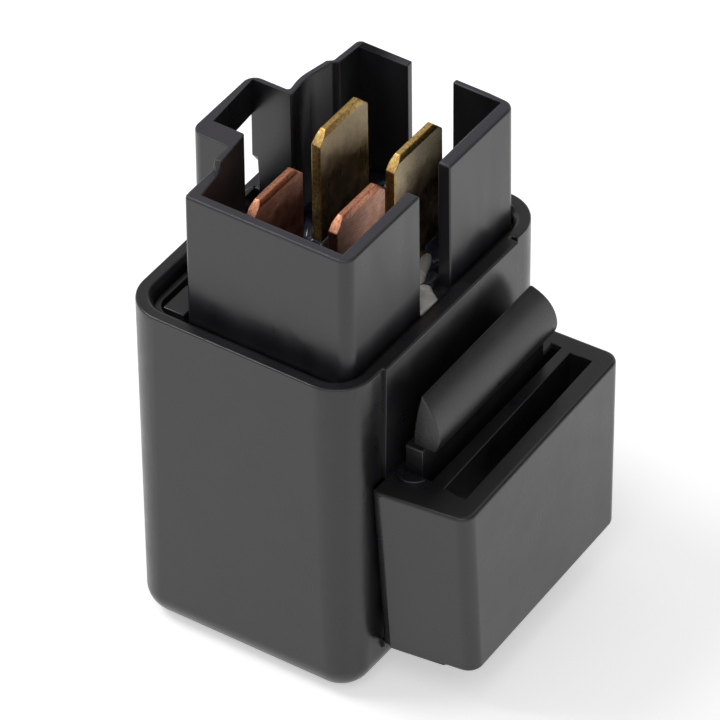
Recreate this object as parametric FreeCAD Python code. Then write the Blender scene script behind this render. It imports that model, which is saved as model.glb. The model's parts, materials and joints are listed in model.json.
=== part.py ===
import FreeCAD, Part
import math
import os

os.makedirs("parts", exist_ok=True)

Vector = FreeCAD.Vector

# Automotive relay with four flat blades, standing in a rubber mounting boot.
# Millimetres. X is the width, Y the length from front to back, +Z up.
# The origin is the middle of the underside of the boot.

# How far a cutting shape runs past what it cuts
spare = 1.0
sliver = 0.01

# Relay body
body_width = 17.5
body_length = 23.5
body_height = 26.45
body_corner = 1.9
body_foot_round = 0.8

# Case and the base that closes it
case_wall = 0.9
case_floor = 1.0
flange_thickness = 1.6
lip_height = 1.2
lip_width = 0.55
plug_depth = 1.2
plug_fit = 0.05

# Connector shroud round the blades
shroud_width = 14.15
shroud_height = 12.9
shroud_front_ledge = 0.7
shroud_back_ledge = 0.85
shroud_wall = 0.95
shroud_right_wall = 1.1
shroud_rear_left_wall = 0.5
shroud_rear_wall = 0.7
shroud_rear_right_wall = 0.5
shroud_corner = 1.0
shroud_key_corner = 0.3
shroud_step_corner = 0.5
shroud_back_step = 0.4
shroud_step_place = 18.2
shroud_bow = 0.35
shroud_bow_place = 15.3
shroud_bow_radius = 5.0

# Keyed bulge in the left wall, with the latch window
bulge_start = 5.6
bulge_length = 7.85
bulge_wall = 0.45
bulge_wall_taper = 0.35
bulge_front_wall = 1.85
bulge_mouth_wall = 0.2
bulge_root_corner = 0.25
bulge_rise = 0.8
bulge_rise_start = 3.6
bulge_rise_ramp = 0.25
window_sill = 3.55
window_height = 6.95
window_depth = 0.75
window_slant_rise = 3.0

# Gaps in the right and the back wall of the shroud
right_gap_start = 9.3
right_gap_length = 3.9
back_gap_start = 5.1
back_gap_length = 3.8
gap_sill = 1.5

# Raised pad on the flange beside the bulge
pad_width = 1.85
pad_length = 3.0
pad_side_ledge = 0.95
pad_front_ledge = 1.05

# Resin poured round the blades
resin_depth = 1.1

# Blades
blade_width = 6.3
blade_thickness = 0.8
blade_chamfer = 1.0
blade_bevel = 0.18
blade_bevel_depth = 0.54
blade_row_left = -2.1
blade_row_right = 4.47
blade_fit = 0.03
coil_left_start = -7.6
coil_left_reach = 11.05
coil_right_start = -6.7
coil_right_reach = 11.9
common_start = 0.85
common_reach = 11.9
switched_start = 0.75
switched_reach = 12.5
tail_width = 2.0
tail_reach = 0.6
shoulder_depth = 0.4

# Coil
coil_place = -1.9
coil_side_gap = 0.2
core_radius = 2.0
core_fit = 0.05
core_head_radius = 1.5
core_head_height = 0.45
core_head_chamfer = 0.22
pole_radius = 3.0
pole_thickness = 0.8
bobbin_wall = 0.7
bobbin_flange = 0.8
bobbin_radius = 4.9
bobbin_fit = 0.03
winding_depth = 1.7
tape_thickness = 0.12
tape_margin = 1.0

# Yoke
yoke_thickness = 1.4
yoke_width = 8.8
yoke_reach = 4.9
yoke_ear_width = 4.4
yoke_ear_depth = 0.9
yoke_fit = 0.03
yoke_corner = 1.0
frame_gap = 1.4

# Armature, hinged on the lower edge of the yoke
armature_rise = 2.6
armature_thickness = 1.2
armature_width = 8.4
armature_reach = 11.0
armature_corner = 1.2
armature_tail_corner = 0.4
hinge_gap = 0.05
pole_gap = 0.42
tail_length = 3.3
armature_tail_width = 2.8
rest_post_width = 1.0
rest_post_inset = 0.7
rest_gap = 0.05

# Contacts
leaf_thickness = 0.25
leaf_width = 3.0
leaf_rivet_margin = 1.2
leaf_end = 8.0
leaf_corner = 0.6
contact_place = 6.4
contact_radius = 1.1
contact_height = 0.9
contact_chamfer = 0.25
contact_gap = 0.66
rivet_radius = 0.55
rivet_head_radius = 0.95
rivet_head_height = 0.35
rivet_spacing = 3.0
rivet_end_margin = 2.0
common_rivet_head_radius = 0.8
carrier_width = 3.0
carrier_bend = 0.5
foot_length = 4.2
foot_bend = 0.3
foot_rivet_margin = 1.1

# Return spring
spring_radius = 0.85
spring_wire = 0.24
spring_wire_sides = 6
spring_length = 5.4
spring_turns = 7
spring_gap = 0.5
tab_thickness = 0.6
tab_width = 2.2

# Coil leads and the resistor across the coil
lead_radius = 0.17
lead_side_gap = 0.25
lead_bend = 0.5
lead_drop = 4.0
resistor_radius = 0.55
resistor_length = 3.2
resistor_round = 0.18
resistor_drop = 0.4
resistor_lead_radius = 0.2

# Rubber boot
boot_fit = 0.05
boot_wall = 1.3
boot_floor = 2.4
boot_rim = 1.0
boot_draft = 0.75
boot_foot_round = 2.4
boot_foot_margin = 0.05
rim_chamfer = 0.4
panel_length = 17.4
panel_proud = 0.3
panel_foot = 3.0
panel_groove_width = 0.22
panel_groove_depth = 0.45
panel_groove_mouth = 0.45
panel_groove_flare = 1.2

# Bracket pocket on the right side of the boot
pocket_width = 7.85
pocket_length = 22.3
pocket_height = 15.85
pocket_foot = 3.6
pocket_start = -10.5
pocket_yaw = 2.2
pocket_skew = 5.0
pocket_corner = 1.2
pocket_root_corner = 1.1
pocket_neck_overlap = 1.96
pocket_overlap = 0.35
pocket_front_draft = 1.2
pocket_side_draft = 0.15
slot_width = 1.88
slot_length = 17.8
slot_outer_wall = 1.55
slot_front_wall = 3.1

# Web with its locking bead, between the boot and the slot
web_start = 3.35
web_place = 0.95
web_thickness = 1.5
web_height = 2.45
web_yaw = 1.0
bead_start = 3.7
bead_length = 16.2
bead_end_slant = 1.3
bead_height = 4.9
bead_width = 2.3
bead_overlap = 0.4
bead_lean = 0.75
bead_swell = 0.28
bead_swell_height = 2.7
bead_shoulder_inset = 0.39
bead_shoulder_height = 3.04
bead_side_height = 1.23
bead_turn_inset = 0.07
bead_turn_height = 0.49
bead_foot_inset = 0.32
bead_end_belly = 0.33
bead_end_belly_height = 2.94
groove_width = 0.75
groove_depth = 3.0
groove_length = 17.6
lip_radius = 1.3
lip_rise = 0.3
lip_inset = 0.39

# Heights that several pieces share
case_base = boot_floor
case_inner_floor = case_base + case_floor
lip_top = case_base + body_height
flange_top = lip_top - lip_height
flange_base = flange_top - flange_thickness
plug_base = flange_base - plug_depth
boot_height = lip_top + boot_rim
shroud_top = flange_top + shroud_height
resin_top = flange_top + resin_depth
shoulder_level = flange_base + shoulder_depth
coil_left_top = flange_top + coil_left_reach
coil_right_top = flange_top + coil_right_reach
common_top = flange_top + common_reach
switched_top = flange_top + switched_reach
yoke_top = plug_base - frame_gap
yoke_under = yoke_top - yoke_thickness
armature_top = case_inner_floor + armature_rise
yoke_foot = armature_top + hinge_gap
pole_face = armature_top + pole_gap
pole_top = pole_face + pole_thickness
armature_under = armature_top - armature_thickness
leaf_under = armature_under - leaf_thickness

# Places in plan that several pieces share
shroud_left = body_width / 2 - shroud_width
shroud_front = -body_length / 2 + shroud_front_ledge
shroud_length = body_length - shroud_front_ledge - shroud_back_ledge
bulge_depth = body_width - shroud_width
leg_inner = coil_place - bobbin_radius - coil_side_gap
leg_outer = leg_inner - yoke_thickness
spring_place = leg_outer - spring_gap - spring_radius
winding_inner = core_radius + core_fit + bobbin_wall
winding_radius = winding_inner + winding_depth
moving_contact_top = armature_under + contact_height
fixed_contact_face = moving_contact_top + contact_gap
carrier_under = fixed_contact_face + contact_height


def outline(corners, z):
    # Closed wire through (x, y, radius) corners, each rounded by its own radius
    points = [Vector(x, y, z) for x, y, radius in corners]
    starts = []
    ends = []
    middles = []
    for index, (x, y, radius) in enumerate(corners):
        here = points[index]
        before = (points[index - 1] - here).normalize()
        after = (points[(index + 1) % len(points)] - here).normalize()
        if radius <= 0:
            starts.append(here)
            ends.append(here)
            middles.append(None)
            continue
        half_angle = before.getAngle(after) / 2
        reach = radius / math.tan(half_angle)
        centre = here + (before + after).normalize() * (radius / math.sin(half_angle))
        starts.append(here + before * reach)
        ends.append(here + after * reach)
        middles.append(centre + (here - centre).normalize() * radius)
    edges = []
    for index in range(len(points)):
        if middles[index] is not None:
            edges.append(Part.Arc(starts[index], middles[index], ends[index]).toShape())
        following = (index + 1) % len(points)
        if ends[index].distanceToPoint(starts[following]) > 1e-6:
            edges.append(Part.LineSegment(ends[index], starts[following]).toShape())
    return Part.Wire(edges)


def prism(corners, low, high):
    return Part.Face(outline(corners, low)).extrude(Vector(0, 0, high - low))


def sharp(points):
    return [(x, y, 0) for x, y in points]


def rectangle(width, length, radius, x=0, y=0):
    half_width = width / 2
    half_length = length / 2
    return [
        (x - half_width, y - half_length, radius),
        (x + half_width, y - half_length, radius),
        (x + half_width, y + half_length, radius),
        (x - half_width, y + half_length, radius),
    ]


def block(x0, x1, y0, y1, z0, z1):
    return Part.makeBox(x1 - x0, y1 - y0, z1 - z0, Vector(x0, y0, z0))


def cylinder(radius, low, high, x, y):
    return Part.makeCylinder(radius, high - low, Vector(x, y, low))


def side_profile(points, x0, x1):
    # Solid with the outline of (y, z) points, from x0 to x1
    corners = [Vector(x0, y, z) for y, z in points]
    wire = Part.makePolygon(corners + corners[:1])
    return Part.Face(wire).extrude(Vector(x1 - x0, 0, 0))


def front_profile(points, y0, y1):
    # Solid with the outline of (x, z) points, from y0 to y1
    corners = [Vector(x, y0, z) for x, z in points]
    wire = Part.makePolygon(corners + corners[:1])
    return Part.Face(wire).extrude(Vector(0, y1 - y0, 0))


def flat_edges(solid, z):
    # Edges of a solid that lie wholly at one height
    found = []
    for edge in solid.Edges:
        box = edge.BoundBox
        if abs(box.ZMin - z) < 1e-4 and abs(box.ZMax - z) < 1e-4:
            found.append(edge)
    return found


def turned(shape, angle, x, y):
    copy = shape.copy()
    copy.rotate(Vector(x, y, 0), Vector(0, 0, 1), angle)
    return copy


def boot_half(size, z):
    # Half of an outer size of the boot at a height, narrower towards the foot
    shrink = (boot_height - z) * math.tan(math.radians(boot_draft))
    return size / 2 + boot_fit + boot_wall - shrink


def boot_outer():
    # The corners narrow towards the foot, to little more than the rounding of the foot
    top_corner = body_corner + boot_fit + boot_wall
    foot_corner = boot_foot_round + boot_foot_margin
    sections = []
    for z, corner in ((0, foot_corner), (boot_height, top_corner)):
        half_width = boot_half(body_width, z)
        half_length = boot_half(body_length, z)
        corners = rectangle(2 * half_width, 2 * half_length, corner)
        sections.append(outline(corners, z))
    cup = Part.makeLoft(sections, True, True)
    return cup.makeFillet(boot_foot_round, flat_edges(cup, 0))


def boot_panel():
    inner = body_width / 2 + boot_fit + boot_wall / 2
    low = panel_foot
    low_face = boot_half(body_width, low)
    profile = [
        (inner, low - panel_proud),
        (low_face, low - panel_proud),
        (low_face + panel_proud, low),
        (boot_half(body_width, boot_height) + panel_proud, boot_height),
        (inner, boot_height),
    ]
    return front_profile(profile, -panel_length / 2, panel_length / 2)


def panel_groove():
    # Thin groove behind the panel, flared where it runs out at the rim
    outer = boot_half(body_width, boot_height) + spare
    inner = boot_half(body_width, boot_height) - panel_groove_depth
    near = panel_length / 2
    low = pocket_foot + pocket_height
    profile = [
        (near, low),
        (near + panel_groove_width, low),
        (near + panel_groove_width, boot_height - panel_groove_flare),
        (near + panel_groove_mouth, boot_height + spare),
        (near, boot_height + spare),
    ]
    return side_profile(profile, inner, outer)


def pocket_point(across, along):
    # Place in the pocket's own plan, turned with the pocket
    yaw = math.radians(pocket_yaw)
    left = boot_half(body_width, boot_height)
    x = left + across * math.cos(yaw) - along * math.sin(yaw)
    y = pocket_start + across * math.sin(yaw) + along * math.cos(yaw)
    return x, y


def pocket_section(front_inset, side_inset, z):
    skew = pocket_width * math.tan(math.radians(pocket_skew))
    back = pocket_length + skew / 2 - side_inset
    root = side_inset - pocket_overlap
    plan = [
        (root, front_inset, pocket_root_corner),
        (pocket_width - side_inset, front_inset + skew, pocket_corner),
        (pocket_width - side_inset, back, pocket_corner),
        (root, back, pocket_root_corner),
    ]
    corners = []
    for across, along, radius in plan:
        x, y = pocket_point(across, along)
        corners.append((x, y, radius))
    return outline(corners, z)


def pocket_block():
    top = pocket_foot + pocket_height
    low = pocket_section(pocket_front_draft, pocket_side_draft, pocket_foot)
    high = pocket_section(0, 0, top)
    body = Part.makeLoft([low, high], True, True)
    neck_inner = body_width / 2 + boot_fit + boot_wall / 2
    neck_outer = boot_half(body_width, boot_height) + pocket_neck_overlap
    neck = block(neck_inner, neck_outer, -panel_length / 2, panel_length / 2, pocket_foot, top)
    return body.fuse(neck)


def bracket_slot():
    right = pocket_width - slot_outer_wall
    plan = [
        (right - slot_width, slot_front_wall),
        (right, slot_front_wall),
        (right, slot_front_wall + slot_length),
        (right - slot_width, slot_front_wall + slot_length),
    ]
    corners = sharp([pocket_point(across, along) for across, along in plan])
    return prism(corners, pocket_foot - spare, pocket_foot + pocket_height + spare)


def bead_solid(x, y, base):
    # Locking bead: a leaning flat side, a domed right side and a flat underside
    left_low = Vector(x, y, base)
    left_bulge = Vector(x + bead_swell, y, base + bead_swell_height)
    apex = Vector(x + bead_lean, y, base + bead_height)
    right_high = Vector(x + bead_width - bead_shoulder_inset, y, base + bead_shoulder_height)
    right_side = Vector(x + bead_width, y, base + bead_side_height)
    right_turn = Vector(x + bead_width - bead_turn_inset, y, base + bead_turn_height)
    right_low = Vector(x + bead_width - bead_foot_inset, y, base)
    edges = [
        Part.Arc(left_low, left_bulge, apex).toShape(),
        Part.Arc(apex, right_high, right_side).toShape(),
        Part.Arc(right_side, right_turn, right_low).toShape(),
        Part.LineSegment(right_low, left_low).toShape(),
    ]
    bead = Part.Face(Part.Wire(edges)).extrude(Vector(0, bead_length, 0))
    return bead.cut(bead_end(x, y + bead_length, base))


def bead_end(x, y, base):
    # What the domed slant takes off the far end of the bead
    left = x - spare
    low = Vector(left, y, base)
    middle = Vector(left, y - bead_end_belly, base + bead_end_belly_height)
    high = Vector(left, y - bead_end_slant, base + bead_height)
    over = Vector(0, 0, spare)
    out = Vector(0, spare, 0)
    far = Vector(0, spare + bead_end_slant, 0)
    edges = [
        Part.Arc(low, middle, high).toShape(),
        Part.LineSegment(high, high + over).toShape(),
        Part.LineSegment(high + over, high + over + far).toShape(),
        Part.LineSegment(high + over + far, low + out).toShape(),
        Part.LineSegment(low + out, low).toShape(),
    ]
    return Part.Face(Part.Wire(edges)).extrude(Vector(bead_width + 2 * spare, 0, 0))


def web_and_bead():
    top = pocket_foot + pocket_height
    x, y = pocket_point(web_place, web_start)
    web_end = bead_start + bead_length - web_start
    web = block(x, x + web_thickness, y, y + web_end, top - spare, top + web_height)
    bead = bead_solid(x + bead_overlap, y + bead_start - web_start, top + web_height)
    return turned(web.fuse(bead), web_yaw, x, y)


def web_groove():
    top = pocket_foot + pocket_height
    x, y = pocket_point(web_place, web_start)
    left = x + web_thickness
    far = y + groove_length
    groove = block(left, left + groove_width, y, far, top - groove_depth, top + spare)
    return turned(groove, web_yaw, x, y)


def foot_lip():
    # Crescent step on the top of the pocket at the near foot of the web
    top = pocket_foot + pocket_height
    x, y = pocket_point(web_place + web_thickness / 2, web_start)
    low = top - spare
    disc = cylinder(lip_radius, low, top + lip_rise, x, y)
    keep = block(x - lip_radius, x + lip_radius, y - lip_radius, y - lip_inset, low, top + lip_rise)
    return disc.common(keep)


def boot_cavity():
    width = body_width + 2 * boot_fit
    length = body_length + 2 * boot_fit
    corner = body_corner + boot_fit
    hollow = prism(rectangle(width, length, corner), boot_floor, boot_height + spare)
    wide = 2 * rim_chamfer
    low = outline(rectangle(width, length, corner), boot_height - rim_chamfer)
    high = outline(rectangle(width + wide, length + wide, corner + rim_chamfer), boot_height)
    return hollow.fuse(Part.makeLoft([low, high], True, True))


def rubber_boot():
    boot = boot_outer().fuse(boot_panel())
    boot = boot.cut(panel_groove())
    boot = boot.fuse(pocket_block())
    boot = boot.cut(web_groove())
    boot = boot.fuse(web_and_bead())
    boot = boot.fuse(foot_lip())
    boot = boot.cut(bracket_slot())
    return boot.cut(boot_cavity()).removeSplitter()


def relay_case():
    outer = prism(rectangle(body_width, body_length, body_corner), case_base, flange_base)
    outer = outer.makeFillet(body_foot_round, flat_edges(outer, case_base))
    inner_width = body_width - 2 * case_wall
    inner_length = body_length - 2 * case_wall
    inner_corner = body_corner - case_wall
    plan = rectangle(inner_width, inner_length, inner_corner)
    hollow = prism(plan, case_inner_floor, flange_base + spare)
    case = outer.cut(hollow)
    # Two posts on which the open armature rests
    post_y = leg_inner + armature_reach - armature_corner - rest_post_width
    for side in (-1, 1):
        x = side * (armature_width / 2 - rest_post_inset)
        post = block(x - rest_post_width / 2, x + rest_post_width / 2, post_y, post_y + rest_post_width,
                     case_inner_floor, armature_under - rest_gap)
        case = case.fuse(post)
    return case.removeSplitter()


def shroud_outer():
    left = shroud_left
    right = body_width / 2
    front = shroud_front
    back = shroud_front + shroud_length
    bulge_left = left - bulge_depth
    bulge_front = front + bulge_start
    bulge_back = bulge_front + bulge_length
    step = front + shroud_step_place
    corner = shroud_corner
    return [
        (left, front, shroud_key_corner),
        (right, front, corner),
        (right, back, corner),
        (left + shroud_back_step, back, shroud_step_corner),
        (left + shroud_back_step, step + shroud_back_step, 0),
        (left, step, 0),
        (left - shroud_bow, front + shroud_bow_place, shroud_bow_radius),
        (left, bulge_back, bulge_root_corner),
        (bulge_left, bulge_back, corner),
        (bulge_left, bulge_front, corner),
        (left, bulge_front, 0),
    ]


def shroud_inner():
    left = shroud_left + shroud_wall
    rear_left = shroud_left + shroud_rear_left_wall
    right = body_width / 2 - shroud_right_wall
    front = shroud_front + shroud_wall
    back = shroud_front + shroud_length
    split = shroud_left + back_gap_start + back_gap_length
    mouth = shroud_left + bulge_mouth_wall
    bulge_left = shroud_left - bulge_depth + bulge_wall
    bulge_front = shroud_front + bulge_start + bulge_front_wall
    bulge_back = shroud_front + bulge_start + bulge_length - bulge_wall
    step = shroud_front + shroud_step_place
    return [
        (left, front, 0),
        (right, front, 0),
        (right, back - shroud_rear_right_wall, 0),
        (split, back - shroud_rear_right_wall, 0),
        (split, back - shroud_rear_wall, 0),
        (rear_left + shroud_back_step, back - shroud_rear_wall, 0),
        (rear_left + shroud_back_step, step + shroud_back_step, 0),
        (rear_left, step, 0),
        (rear_left - shroud_bow, shroud_front + shroud_bow_place, shroud_bow_radius),
        (rear_left, bulge_back, 0),
        (bulge_left, bulge_back, 0),
        (bulge_left + bulge_wall_taper, bulge_front, 0),
        (mouth, bulge_front, 0),
    ]


def shroud_trim():
    # What is cut off the top of the walls: level over most, raised at the bulge
    high = shroud_top + bulge_rise
    far = high + spare
    split = shroud_left + shroud_rear_left_wall + shroud_back_step
    front = shroud_front
    back = front + shroud_length
    bulge_back = front + bulge_start + bulge_length
    ramp_end = bulge_rise_start + bulge_rise_ramp
    level = block(split, body_width, -body_length, body_length, shroud_top, far)
    left_profile = [
        (-body_length, shroud_top),
        (front + bulge_rise_start, shroud_top),
        (front + ramp_end, high),
        (bulge_back, high),
        (back, shroud_top),
        (body_length, shroud_top),
        (body_length, far),
        (-body_length, far),
    ]
    return level.fuse(side_profile(left_profile, -body_width, split))


def latch_window():
    low = flange_top + window_sill
    high = low + window_height
    near = shroud_front + bulge_start + bulge_front_wall
    outer = shroud_front + bulge_start + bulge_length
    far = outer - bulge_wall
    profile = [
        (near, low),
        (outer + spare, low),
        (far, low + window_slant_rise),
        (far, high),
        (near, high),
    ]
    return side_profile(profile, -body_width / 2 - spare, -body_width / 2 + window_depth)


def wall_gaps():
    sill = flange_top + gap_sill
    high = shroud_top + bulge_rise + spare
    right = body_width / 2
    back = shroud_front + shroud_length
    near = shroud_front + right_gap_start
    side_gap = block(right - shroud_right_wall, right + spare, near, near + right_gap_length, sill, high)
    left = shroud_left + back_gap_start
    back_gap = block(left, left + back_gap_length, back - shroud_rear_wall, back + spare, sill, high)
    return side_gap.fuse(back_gap)


def flange_and_plug():
    plate = prism(rectangle(body_width, body_length, body_corner), flange_base, lip_top)
    inner = rectangle(body_width - 2 * lip_width, body_length - 2 * lip_width, body_corner - lip_width)
    plate = plate.cut(prism(inner, flange_top, lip_top + spare))
    pad_x = -body_width / 2 + pad_side_ledge
    pad_y = -body_length / 2 + pad_front_ledge
    plate = plate.fuse(block(pad_x, pad_x + pad_width, pad_y, pad_y + pad_length, flange_base, lip_top))
    inset = 2 * (case_wall + plug_fit)
    plug_corner = body_corner - case_wall - plug_fit
    plug = prism(rectangle(body_width - inset, body_length - inset, plug_corner), plug_base, flange_base)
    return plate.fuse(plug)


def terminal_slots():
    # Room in the base for the blades, their tails and the ears of the yoke
    slots = []
    half = blade_thickness / 2 + blade_fit
    low = plug_base - spare
    for row, start in coil_blades():
        slots.append(block(row - half, row + half, start - blade_fit, start + blade_width + blade_fit,
                           shoulder_level, lip_top + spare))
        middle = start + blade_width / 2
        tail_half = tail_width / 2 + blade_fit
        slots.append(block(row - half, row + half, middle - tail_half, middle + tail_half,
                           low, shoulder_level))
    for row, start in ((blade_row_left, common_start), (blade_row_right, switched_start)):
        slots.append(block(row - half, row + half, start - blade_fit, start + blade_width + blade_fit,
                           low, lip_top + spare))
    ear_half = yoke_ear_width / 2 + yoke_fit
    slots.append(block(-ear_half, ear_half, leg_outer - yoke_fit, leg_inner + yoke_fit,
                       low, plug_base + yoke_ear_depth))
    return slots


def terminal_base():
    walls = prism(shroud_outer(), flange_base, shroud_top + bulge_rise)
    base = flange_and_plug().fuse(walls)
    base = base.cut(prism(shroud_inner(), flange_top, shroud_top + bulge_rise + spare))
    base = base.cut(shroud_trim())
    base = base.cut(latch_window())
    base = base.cut(wall_gaps())
    for slot in terminal_slots():
        base = base.cut(slot)
    return base.removeSplitter()


def coil_blades():
    return (blade_row_left, coil_left_start), (blade_row_right, coil_right_start)


def blade_outline(start, top):
    # Upper outline of a blade in (y, z), with its corners cut
    end = start + blade_width
    return [
        (start, top - blade_chamfer),
        (start + blade_chamfer, top),
        (end - blade_chamfer, top),
        (end, top - blade_chamfer),
    ]


def bevelled(plate, row, top):
    # Coined bevel along the top edge, on both faces of the blade
    half = blade_thickness / 2
    over = top + sliver
    outside = half + sliver
    for side in (-1, 1):
        wedge = front_profile([
            (row + side * (half - blade_bevel), over),
            (row + side * outside, over),
            (row + side * outside, top - blade_bevel_depth),
        ], -body_length, body_length)
        plate = plate.cut(wedge)
    return plate


def coil_terminal(row, start, top):
    end = start + blade_width
    middle = start + blade_width / 2
    tail_near = middle - tail_width / 2
    tail_far = middle + tail_width / 2
    tail_low = plug_base - tail_reach
    points = [(end, shoulder_level), (tail_far, shoulder_level), (tail_far, tail_low),
              (tail_near, tail_low), (tail_near, shoulder_level), (start, shoulder_level)]
    half = blade_thickness / 2
    plate = side_profile(points + blade_outline(start, top), row - half, row + half)
    return bevelled(plate, row, top)


def bent_strip(outer_x, inner_x, low, high, y0, y1, thickness, radius):
    # Strip that comes down at outer_x and turns level towards inner_x
    side = 1 if inner_x > outer_x else -1
    bend = Vector(outer_x + side * radius, y0, low + radius)
    corner = radius * math.sin(math.radians(45))
    far = radius - thickness
    near_corner = far * math.sin(math.radians(45))
    outer_arc = Part.Arc(Vector(outer_x, y0, low + radius),
                         bend + Vector(-side * corner, 0, -corner),
                         Vector(bend.x, y0, low))
    inner_arc = Part.Arc(Vector(bend.x, y0, low + thickness),
                         bend + Vector(-side * near_corner, 0, -near_corner),
                         Vector(outer_x + side * thickness, y0, bend.z))
    corners = [
        Vector(bend.x, y0, low),
        Vector(inner_x, y0, low),
        Vector(inner_x, y0, low + thickness),
        Vector(bend.x, y0, low + thickness),
    ]
    edges = [outer_arc.toShape()]
    for first, second in zip(corners[:-1], corners[1:]):
        edges.append(Part.LineSegment(first, second).toShape())
    edges.append(inner_arc.toShape())
    riser = [
        Vector(outer_x + side * thickness, y0, bend.z),
        Vector(outer_x + side * thickness, y0, high),
        Vector(outer_x, y0, high),
        Vector(outer_x, y0, bend.z),
    ]
    for first, second in zip(riser[:-1], riser[1:]):
        edges.append(Part.LineSegment(first, second).toShape())
    return Part.Face(Part.Wire(edges)).extrude(Vector(0, y1 - y0, 0))


def common_foot_reach():
    return blade_row_left + blade_thickness / 2 + foot_length


def common_terminal():
    # Blade whose foot turns in under the base and lies on the yoke
    row = blade_row_left
    half = blade_thickness / 2
    end = common_start + blade_width
    points = [(end, plug_base), (common_start, plug_base)]
    plate = side_profile(points + blade_outline(common_start, common_top), row - half, row + half)
    yoke_end = coil_place + yoke_reach
    foot = bent_strip(row - half, common_foot_reach(), yoke_top, plug_base, common_start, yoke_end,
                      blade_thickness, blade_thickness + foot_bend)
    x, y = common_rivet_place()
    hole = cylinder(rivet_radius, yoke_top - spare, yoke_top + blade_thickness + spare, x, y)
    return bevelled(plate, row, common_top).fuse(foot).cut(hole).removeSplitter()


def carrier_near():
    return contact_place - carrier_width / 2


def switched_terminal():
    # Blade that runs down beside the coil and turns in over the contacts
    row = blade_row_right
    half = blade_thickness / 2
    end = switched_start + blade_width
    near = carrier_near()
    points = [(end, plug_base), (switched_start, plug_base)]
    plate = side_profile(points + blade_outline(switched_start, switched_top), row - half, row + half)
    strip = bent_strip(row + half, -contact_radius - carrier_bend, carrier_under, plug_base, near, end,
                       blade_thickness, blade_thickness + carrier_bend)
    carrier_top = carrier_under + blade_thickness
    hole = cylinder(rivet_radius, carrier_under - spare, carrier_top + spare, 0, contact_place)
    return bevelled(plate, row, switched_top).fuse(strip).cut(hole).removeSplitter()


def fixed_contact():
    # Contact rivet: domed face down, shank through the carrier, closed head above
    head = cylinder(contact_radius, fixed_contact_face, carrier_under, 0, contact_place)
    head = head.makeChamfer(contact_chamfer, flat_edges(head, fixed_contact_face))
    top = carrier_under + blade_thickness
    shank = cylinder(rivet_radius, carrier_under, top, 0, contact_place)
    closed = cylinder(rivet_head_radius, top, top + rivet_head_height, 0, contact_place)
    return head.fuse(shank).fuse(closed).removeSplitter()


def yoke():
    # Iron frame: top plate over the coil, leg in front of it, ears up into the base
    half = yoke_width / 2
    back = coil_place + yoke_reach
    outer = Vector(0, leg_outer, yoke_top)
    leg_profile = [
        (outer.y, yoke_foot),
        (leg_inner, yoke_foot),
        (leg_inner, yoke_under),
        (back, yoke_under),
        (back, yoke_top),
        (outer.y + yoke_corner, yoke_top),
        (outer.y, yoke_top - yoke_corner),
    ]
    frame = side_profile(leg_profile, -half, half)
    ear_half = yoke_ear_width / 2
    ear = block(-ear_half, ear_half, leg_outer, leg_inner, yoke_under, plug_base + yoke_ear_depth)
    frame = frame.fuse(ear)
    tab_low = armature_top + spring_length
    tab_far = spring_place - spring_radius
    tab = block(-tab_width / 2, tab_width / 2, tab_far, leg_outer, tab_low, tab_low + tab_thickness)
    frame = frame.fuse(tab)
    frame = frame.cut(cylinder(core_radius, yoke_under - spare, yoke_top + spare, 0, coil_place))
    rivet_x, rivet_y = common_rivet_place()
    frame = frame.cut(cylinder(rivet_radius, yoke_under - spare, yoke_top + spare, rivet_x, rivet_y))
    return frame.removeSplitter()


def common_rivet_place():
    # Middle of the free end of the common terminal's foot
    back = coil_place + yoke_reach
    return common_foot_reach() - foot_rivet_margin, (common_start + back) / 2


def common_rivet():
    x, y = common_rivet_place()
    foot_top = yoke_top + blade_thickness
    shank = cylinder(rivet_radius, yoke_under, foot_top, x, y)
    head = cylinder(common_rivet_head_radius, foot_top, foot_top + rivet_head_height, x, y)
    return shank.fuse(head).removeSplitter()


def iron_core():
    pole = cylinder(pole_radius, pole_face, pole_top, 0, coil_place)
    shank = cylinder(core_radius, pole_top, yoke_top, 0, coil_place)
    head = cylinder(core_head_radius, yoke_top, yoke_top + core_head_height, 0, coil_place)
    head = head.makeChamfer(core_head_chamfer, flat_edges(head, yoke_top + core_head_height))
    return pole.fuse(shank).fuse(head).removeSplitter()


def coil_bobbin():
    tube = cylinder(winding_inner, pole_top, yoke_under, 0, coil_place)
    low = cylinder(bobbin_radius, pole_top, pole_top + bobbin_flange, 0, coil_place)
    high = cylinder(bobbin_radius, yoke_under - bobbin_flange, yoke_under, 0, coil_place)
    bore = cylinder(core_radius + core_fit, pole_top - spare, yoke_under + spare, 0, coil_place)
    return tube.fuse(low).fuse(high).cut(bore).removeSplitter()


def ring(inner, outer, low, high):
    hole = cylinder(inner, low - spare, high + spare, 0, coil_place)
    return cylinder(outer, low, high, 0, coil_place).cut(hole)


def winding_span():
    return pole_top + bobbin_flange + bobbin_fit, yoke_under - bobbin_flange - bobbin_fit


def coil_winding():
    low, high = winding_span()
    return ring(winding_inner + bobbin_fit, winding_radius, low, high)


def winding_tape():
    low, high = winding_span()
    return ring(winding_radius, winding_radius + tape_thickness, low + tape_margin, high - tape_margin)


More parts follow.
